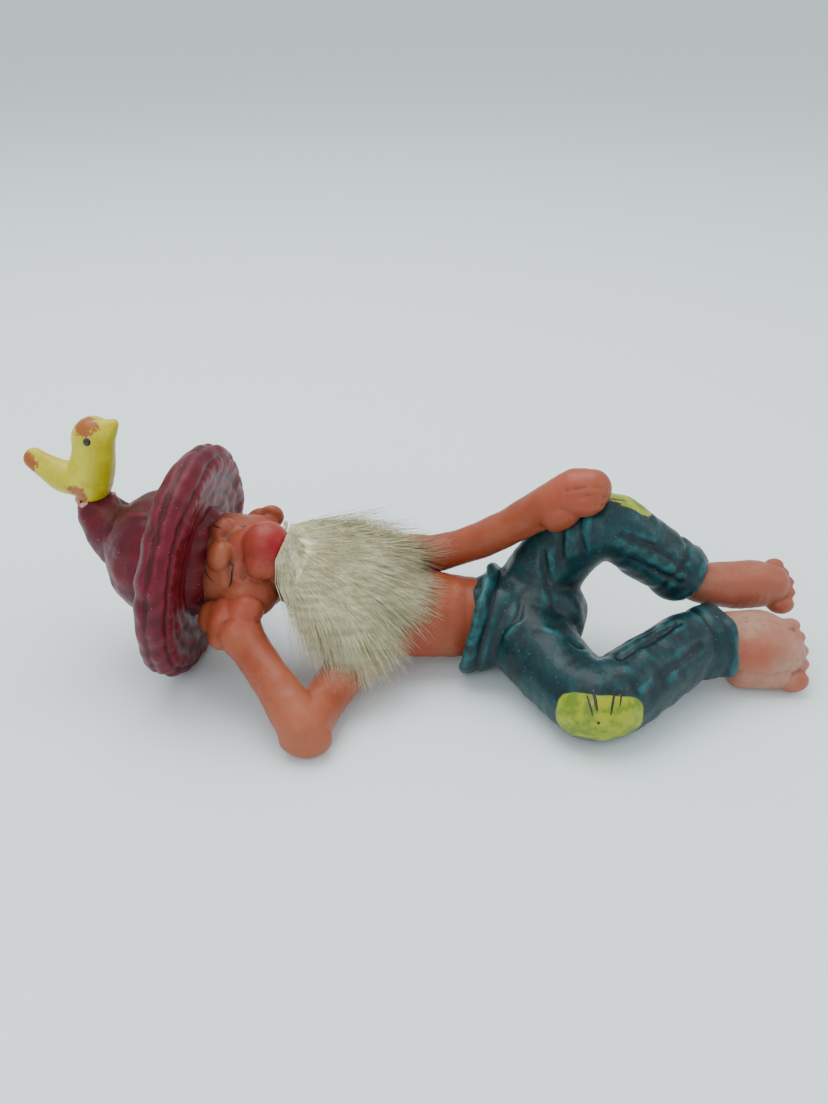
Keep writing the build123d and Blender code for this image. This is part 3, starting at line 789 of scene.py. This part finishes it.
def make_cone():
    """The crown of the hat, drawn out into a bent tip and creased where it turns."""
    cone = [(-86, 13, 41.8, 23.5), (-95, 17, 42.3, 15.6), (-106, 21, 46, 11.3),
            (-112.5, 25, 51, 8.8), (-114.8, 26.8, 55, 6.6)]
    piece = clay("hat_cone_skin", [cone], grain=0.75)
    creases = [[(-90, 3, 60), (-98, 8, 56), (-106, 12, 52)], [(-88, -6, 52), (-97, 4, 49), (-107, 11, 45)],
               [(-90, 0, 33), (-98, 7, 36), (-108, 13, 40)], [(-92, 10, 26), (-101, 14, 33), (-110, 18, 41)],
               [(-93, 22, 62), (-101, 24, 57), (-109, 26, 54)],
               [(-90, 36, 45), (-99, 33, 46), (-108, 32, 48)]]
    press(piece, creases, 1.8, 1.1)
    press(piece, [[(x, y - 1, z + 3.4) for x, y, z in crease] for crease in creases], 1.5, -0.6)
    roughen(piece, 5, 0.5, 9)
    return piece


# ---- bird ------------------------------------------------------------------------------------------------
def make_bird():
    """A small plump bird with a short beak and a raised tail."""
    body = [(-115.4, 27, 62.5, 7.2), (-114.6, 27, 68, 8.3), (-112.8, 27, 75, 7.5), (-112.0, 27, 80.6, 7.7)]
    tail = [(-116, 27, 64.5, 7.2), (-124.5, 27.4, 65.5, 5.8), (-130.5, 28, 69, 4.5), (-134.6, 28.6, 72, 3.8)]
    beak = [(-108, 26.6, 83, 4.6), (-104.4, 26.3, 86.2, 2.0)]
    piece = clay("bird_skin", [body, tail, beak], grain=0.45, soften=5)
    places, _ = points_of(piece)
    places[:, 2] = np.maximum(places[:, 2], BIRD_FOOT.z)
    set_points(piece, places)
    press(piece, [[(-121, 20, 71), (-114, 19.5, 66), (-109, 21, 62)]], 1.0, 0.45)
    roughen(piece, 4, 0.25, 10)
    return piece


def make_bird_eye():
    """A painted black dot on the near side of the bird's head."""
    bpy.ops.mesh.primitive_uv_sphere_add(segments=20, ring_count=12, radius=1.35 * MM,
                                         location=Vector((-112.4, 19.7, 82.2)) * MM)
    eye = bpy.context.object
    eye.scale = (1, 0.45, 1.15)
    return join([eye], "bird_eye")


def make_bird_glue():
    """A ragged pale ring of glue that has run out under the bird."""
    rows = []
    for i in range(41):
        a = 2 * math.pi * i / 40
        reach = 6.0 + 0.5 * math.sin(5 * a)
        rows.append((BIRD_FOOT.x + reach * math.cos(a), BIRD_FOOT.y + reach * math.sin(a),
                     BIRD_FOOT.z - 0.2 + 0.5 * math.sin(7 * a + 1), 0.85 + 0.25 * math.sin(9 * a)))
    piece = clay("bird_glue_skin", [rows], grain=0.3, soften=3)
    roughen(piece, 1.2, 0.3, 11)
    return piece


# ---- beard -----------------------------------------------------------------------------------------------
def at_beard(along, side, out):
    """A point from its distances along, across and out of the beard."""
    return BEARD_ROOT + BEARD_RUN * along + BEARD_SIDE * side + BEARD_OUT * out


def make_hide():
    """The strip of skin that the hair grows on, a little curled at its sides."""
    bpy.ops.mesh.primitive_grid_add(x_subdivisions=24, y_subdivisions=20, size=1)
    piece = bpy.context.object
    piece.name = "beard_skin"
    for vertex in piece.data.vertices:
        along, side = (vertex.co.x + 0.5) * HIDE_LENGTH, vertex.co.y * HIDE_WIDTH
        curl = 0.25 + 0.35 * (side / 10) ** 2 + 0.15 * math.sin(along * 0.8 + side * 0.5)
        vertex.co = at_beard(along, side, curl) * MM
    apply_modifier(piece, "SOLIDIFY", thickness=0.7 * MM, offset=1.0)
    return piece


def make_hair(name, count, seed, ground):
    """Tapering hairs that fan out from the hide and lie over the chest."""
    generator = random.Random(seed)
    corners, faces = [], []
    for _ in range(count):
        along, side = 22.5 * generator.random() ** 1.15, generator.uniform(-9.7, 9.7)
        lock = math.sin(along * 1.3 + side * 2.1) * 0.08 + math.sin(side * 3.7) * 0.07
        spread = -0.10 + side / 10 * 0.50 + lock + generator.gauss(0, 0.10)
        tuft = round(side / 1.9 + math.sin(along * 0.9) * 0.8)
        spread += math.sin(tuft * 12.9) * 0.10
        length = generator.uniform(21, 36) * (1.06 + 0.10 * math.sin(tuft * 7.7))
        lift = generator.uniform(1.0, 5.5) * (0.25 + 0.75 * min(1, along / 9))
        thick = generator.uniform(0.08, 0.15)
        bend = generator.gauss(0, 0.10)
        line = []
        for k in range(6):
            t = k / 5
            turn = spread + bend * t
            point = at_beard(along + length * t * math.cos(turn), side + length * t * math.sin(turn),
                             0.7 + lift * math.sin(math.pi * min(1, t * 0.9)) - 4.5 * t * t)
            hit = ground.ray_cast(point + BEARD_OUT * 14, -BEARD_OUT, 40)
            if hit[0] is not None:
                above = (point - hit[0]).dot(BEARD_OUT)
                least = 0.35 + 1.6 * (1 - t) * generator.random()
                if above < least:
                    point = point + BEARD_OUT * (least - above)
            point.z = max(point.z, 0.6)
            line.append(point)
        start = len(corners)
        for k, point in enumerate(line):
            run = (line[min(k + 1, 5)] - line[max(k - 1, 0)]).normalized()
            across = run.cross(BEARD_OUT).normalized()
            other = run.cross(across)
            width = thick * (1.15 - 0.95 * k / 5)
            for a in (0.5, 2.594, 4.689):
                corners.append(point + (across * math.cos(a) + other * math.sin(a)) * width)
        for k in range(5):
            a = start + 3 * k
            faces += [(a + j, a + (j + 1) % 3, a + 3 + (j + 1) % 3, a + 3 + j) for j in range(3)]
        faces += [(start + 2, start + 1, start), (start + 15, start + 16, start + 17)]
    piece = mesh_piece(name, corners, faces)
    return face_outward(piece)


def make_undercoat(ground):
    """The matted wool under the long hair."""
    rows = [(3, 0, 9, 0.7), (10, -0.5, 11, 1.6), (20, -2, 14, 2.4), (30, -3.5, 16.5, 2.2),
            (38, -4.5, 15, 1.2)]
    strings = []
    for share in np.linspace(-1, 1, 9):
        string = []
        for along, middle, half, bead in rows:
            point = at_beard(along, middle + share * half, 0.8)
            hit = ground.ray_cast(point + BEARD_OUT * 14, -BEARD_OUT, 40)
            if hit[0] is not None and (point - hit[0]).dot(BEARD_OUT) < bead + 0.3:
                point = hit[0] + BEARD_OUT * (bead + 0.3)
            string.append((*point, bead * (1 - 0.25 * share ** 2)))
        strings.append(string)
    piece = clay("beard_wool", strings, grain=0.8, soften=6)
    return piece


# ---- make everything -------------------------------------------------------------------------------------
flesh = flesh_paint("flesh_vinyl", red_spots=[((52, 5, 74), 15), ((-2, -3, 12), 14)])
torso = make_torso()
head = make_head()
right_arm = make_right_arm()
left_arm = make_left_arm()
trousers = make_trousers()
right_foot = make_right_foot()
left_foot = make_left_foot()
brim = make_brim()
cone = make_cone()
bird = make_bird()
for skin in (torso, head, right_arm, left_arm, trousers, right_foot, left_foot, brim, cone, bird):
    note_proudness(skin)

done(torso, flesh, "flesh_vinyl", "torso")
done(left_arm, flesh, "flesh_vinyl", "left_arm")
done(right_arm, flesh_paint("flesh_vinyl_arm", pale_spots=[((-34, -48, 12), 17)],
                            red_spots=[((-60, -14, 34), 12)]), "flesh_vinyl", "right_arm")
done(head, flesh_paint("flesh_vinyl_face", hairline=True, nose=True), "flesh_vinyl", "head")
near_foot_paint = flesh_paint("foot_vinyl_near", base=NEAR_FOOT, pale=NEAR_FOOT_PALE,
                              red_spots=[((136, -12, 4), 10), ((118, -14, 18), 9)])
done(right_foot, near_foot_paint, "foot_vinyl", "right_foot")
done(left_foot, flesh_paint("foot_vinyl_far", base=FAR_FOOT, pale=FAR_FOOT_PALE), "flesh_vinyl", "left_foot")
done(trousers, teal_paint(), "teal_vinyl", "trousers")
maroon = maroon_paint()
done(brim, maroon, "maroon_vinyl", "hat_brim")
done(cone, maroon, "maroon_vinyl", "hat_cone")
done(bird, yellow_paint(), "yellow_vinyl", "bird")
black = plain_paint("black_paint", (0.014, 0.013, 0.012), (0.007, 0.007, 0.007), 2.0, 0.3, 0.2)
done(make_bird_eye(), black, "yellow_vinyl")
done(make_face_strokes(surface_of(head)), black, "flesh_vinyl")
done(make_patch_strokes(surface_of(trousers)), black, "teal_vinyl")
ring_glue = plain_paint("dried_glue", (0.62, 0.36, 0.26), (0.40, 0.15, 0.12), 2.5, 0.5)
done(make_bird_glue(), ring_glue, "dried_glue", "bird_glue")

chest = surface_of(torso, right_arm, head, left_arm)
glue = plain_paint("beard_glue", (0.62, 0.50, 0.33), (0.42, 0.28, 0.16), 1.5, 0.35, 0.2)
bead_run = [(*at_beard(-1.5 + 0.3 * math.sin(side * 1.7), side, -0.3), 0.95 + 0.2 * math.sin(side * 2.3))
            for side in np.arange(-10, 10.1, 2)]
bead = clay("beard_glue_bead", [bead_run], grain=0.3, soften=3)
done(bead, glue, "dried_glue", "beard_glue")
hide = make_hide()
leather = plain_paint("hide", (0.72, 0.64, 0.47), (0.48, 0.38, 0.22), 2.0, 0.65)
done(hide, leather, "hide", "beard_hide", body="beard")
fur = hair_paint()
wool = make_undercoat(chest)
done(wool, fur, "fur", "beard_hair", body="beard")
for number in range(3):
    hair = make_hair(f"beard_hair_{number + 1}", HAIRS, 20 + number, chest)
    done(hair, fur, "fur", body="beard")
